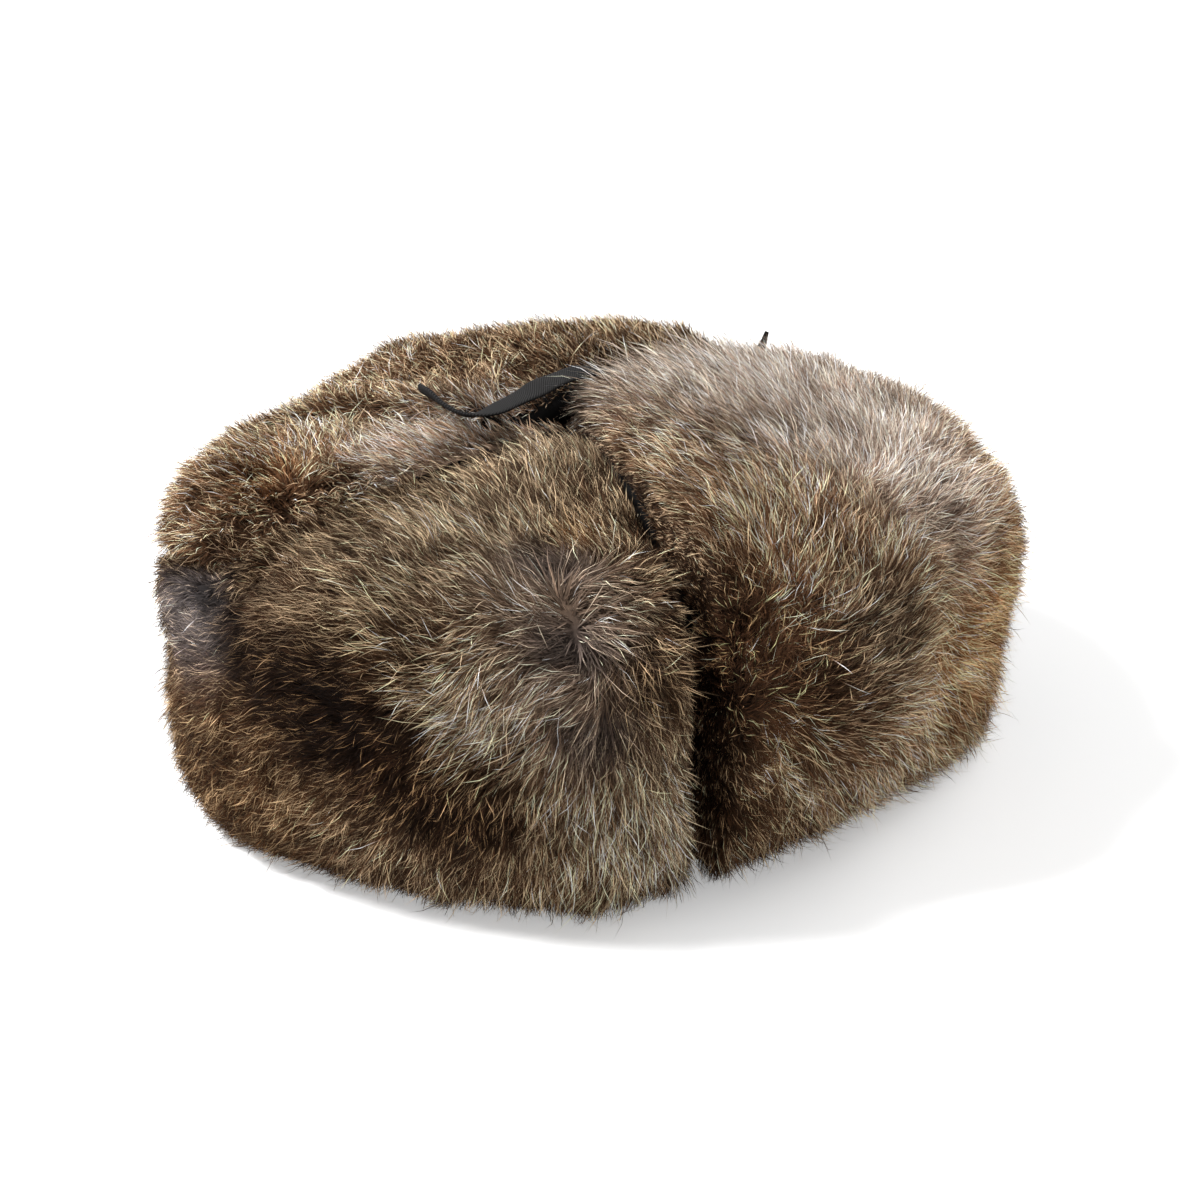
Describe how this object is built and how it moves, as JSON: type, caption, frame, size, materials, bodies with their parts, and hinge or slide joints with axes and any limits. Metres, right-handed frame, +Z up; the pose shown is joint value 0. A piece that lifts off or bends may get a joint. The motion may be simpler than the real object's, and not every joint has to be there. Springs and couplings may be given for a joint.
{
  "type": "ushanka",
  "caption": "Fur ushanka with its front, ear and neck flaps folded up round a cloth crown and tied on top.",
  "frame": {"origin": "under the middle of the whole hat, on the surface that its hem rests on", "axes": "-Y towards the forehead, +X towards the wearer's left, +Z up through the crown"},
  "size_m": [0.257, 0.2918, 0.1212],
  "materials": {
    "brown_fur": "deep agouti rabbit fur",
    "pale_fur": "deep pale agouti rabbit fur",
    "black_cloth": "matte plain weave",
    "black_tape": "matte twill tape"
  },
  "bodies": {
    "root": {"crown": "black_cloth", "front_flap": "brown_fur", "right_ear_flap": "brown_fur", "left_ear_flap": "pale_fur", "neck_flap": "brown_fur", "tie_knot": "black_tape", "right_tie": "black_tape", "left_tie": "black_tape"}
  },
  "joints": []
}
